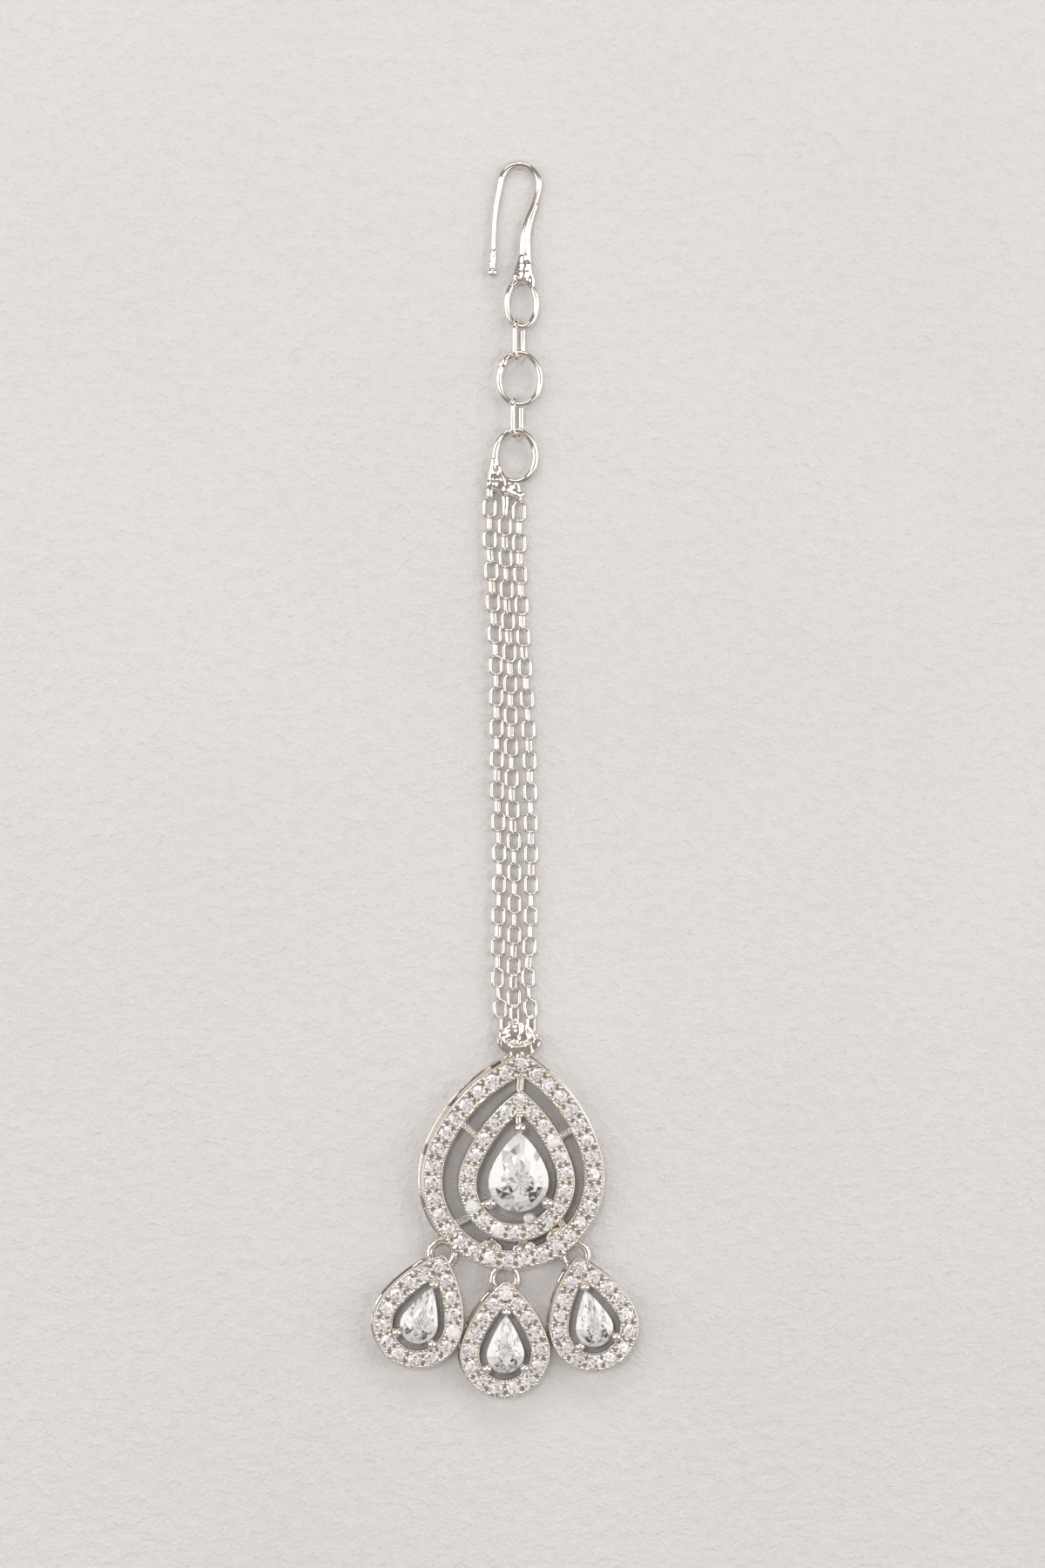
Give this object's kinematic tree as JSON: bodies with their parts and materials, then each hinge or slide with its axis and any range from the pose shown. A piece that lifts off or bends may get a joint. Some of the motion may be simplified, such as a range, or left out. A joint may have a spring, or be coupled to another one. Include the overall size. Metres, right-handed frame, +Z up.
{
  "type": "maang tikka",
  "caption": "Silver-toned hair jewel: hair hook, rings and links, stranded cable chain, pear-shaped pave pendant with a pear stone, and small pear drops below it.",
  "frame": {"origin": "middle of the whole piece's outline, on the surface that it lies on", "axes": "+X to the right, +Y along the chain towards the hook, +Z up, the way the stones face"},
  "size_m": [0.0282, 0.1298, 0.0044],
  "materials": {
    "silver": "bright rhodium plate, polished",
    "solder": "plated solder, lumpy",
    "zirconia": "colourless cut stone"
  },
  "bodies": {
    "root": {"hook": "silver", "link_upper": "silver", "extender_ring": "silver", "link_lower": "silver", "chain_head": "solder", "chain_left": "silver", "chain_middle": "silver", "chain_right": "silver", "pendant_frame": "silver", "centre_stone": "zirconia", "drop_left_frame": "silver", "drop_left_stone": "zirconia", "drop_middle_frame": "silver", "drop_middle_stone": "zirconia", "drop_right_frame": "silver", "drop_right_stone": "zirconia"}
  },
  "joints": []
}
